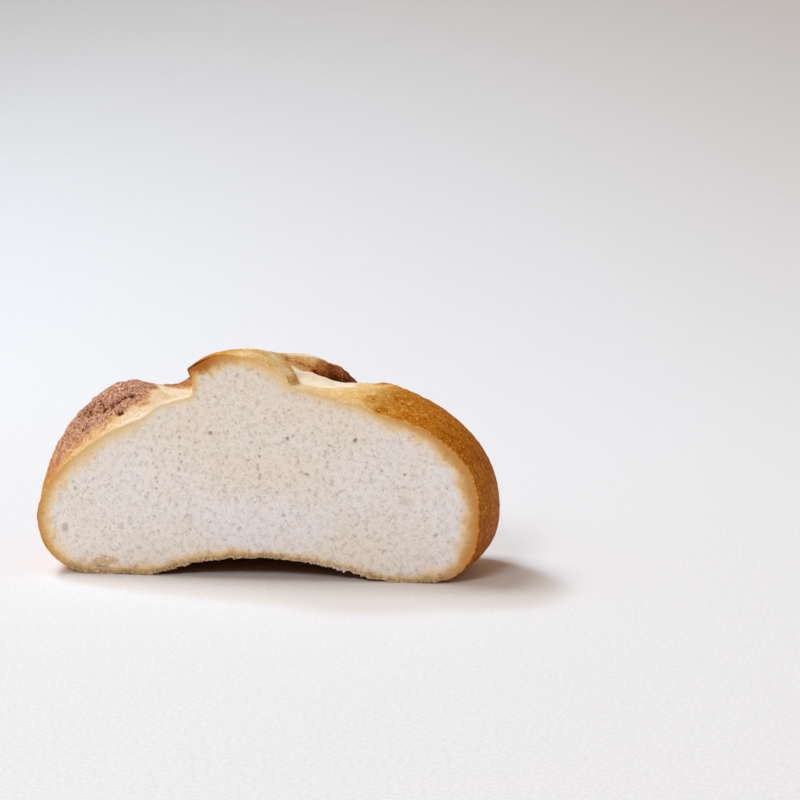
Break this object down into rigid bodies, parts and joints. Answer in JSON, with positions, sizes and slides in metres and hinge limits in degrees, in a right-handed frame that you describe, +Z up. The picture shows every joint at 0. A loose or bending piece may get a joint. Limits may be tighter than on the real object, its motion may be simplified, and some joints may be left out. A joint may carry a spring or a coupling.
{
  "type": "rosetta roll half",
  "caption": "Half of a crusty white rosetta roll, cut upright through the middle: petal-shaped crust round a raised button, flat cut face, resting on its base.",
  "frame": {"origin": "bottom centre of the half's bounding box, on the surface it rests on", "axes": "+X along the cut face, from the side of the button's lip to the soft side; +Y away from the cut face; +Z up"},
  "size_m": [0.115, 0.0588, 0.0556],
  "materials": {
    "crust": "baked crust, golden to brown, dry and matt",
    "crumb": "soft white crumb with fine pores, matt"
  },
  "bodies": {
    "root": {"rosetta_half": "crust"}
  },
  "joints": []
}
